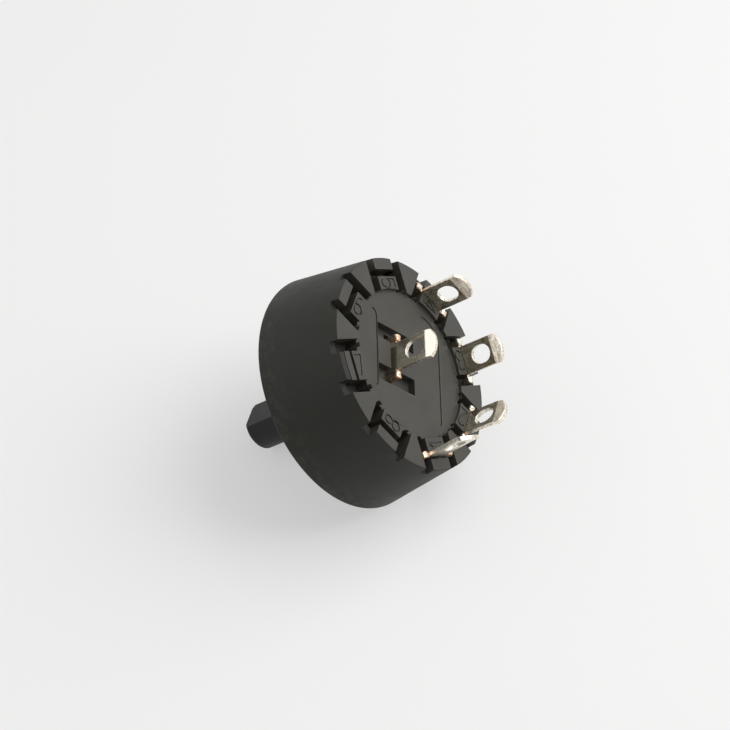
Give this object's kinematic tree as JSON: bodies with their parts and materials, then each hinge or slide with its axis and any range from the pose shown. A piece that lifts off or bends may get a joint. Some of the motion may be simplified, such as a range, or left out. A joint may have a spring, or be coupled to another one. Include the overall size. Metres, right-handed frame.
{
  "type": "rotary switch",
  "caption": "Round rotary switch with a moulded body, a D-shaft at the front, and flat solder lugs around a numbered back plate; contact arm and ball detent inside.",
  "frame": {"origin": "centre of the front mounting face, on the shaft axis, midway between the two screw holes", "axes": "-Y along the shaft towards its tip, +Y towards the solder lugs, +Z towards station 6 and the shaft's flat, +X towards station 8"},
  "size_m": [0.0308, 0.0319, 0.0308],
  "materials": {
    "body_plastic": "fine matte grain",
    "plate_plastic": "fine matte grain",
    "shaft_plastic": "satin",
    "plated_brass": "tin plated, copper-coloured at the sheared edges",
    "contact_silver": "silver",
    "ball_steel": "polished",
    "spring_steel": "bright wire",
    "arm_bronze": "rolled"
  },
  "bodies": {
    "body": {"housing": "body_plastic", "base": "plate_plastic", "terminal_common": "plated_brass", "terminal_1": "plated_brass", "terminal_2": "plated_brass", "terminal_3": "plated_brass", "terminal_4": "plated_brass", "contact_rivet_common": "contact_silver", "contact_rivet_1": "contact_silver", "contact_rivet_2": "contact_silver", "contact_rivet_3": "contact_silver", "contact_rivet_4": "contact_silver"},
    "turning_part": {"rotor": "shaft_plastic", "detent_spring_upper": "spring_steel", "detent_spring_lower": "spring_steel", "wiper_spring": "spring_steel"},
    "upper_ball": {"detent_ball_upper": "ball_steel"},
    "lower_ball": {"detent_ball_lower": "ball_steel"},
    "contact_arm": {"wiper": "arm_bronze", "wiper_tip_inner": "contact_silver", "wiper_tip_outer": "contact_silver"}
  },
  "joints": [
    {"name": "shaft_turn", "type": "hinge", "parent": "body", "child": "turning_part", "pos_m": [0, 0, 0], "axis": [0, 1, 0], "range_deg": [0, 180]},
    {"name": "upper_ball_slide", "type": "slide", "parent": "turning_part", "child": "upper_ball", "axis": [0, 0, 1], "range_m": [0, 0.0005], "stiffness_N_per_m": 200, "springref_m": 0.0005, "deforming": ["detent_spring_upper"]},
    {"name": "lower_ball_slide", "type": "slide", "parent": "turning_part", "child": "lower_ball", "axis": [0, 0, -1], "range_m": [0, 0.0005], "stiffness_N_per_m": 200, "springref_m": 0.0005, "deforming": ["detent_spring_lower"]},
    {"name": "arm_press", "type": "slide", "parent": "turning_part", "child": "contact_arm", "axis": [0, 1, 0], "range_m": [-0.0003, 0.0001], "stiffness_N_per_m": 200, "deforming": ["wiper_spring"]}
  ]
}
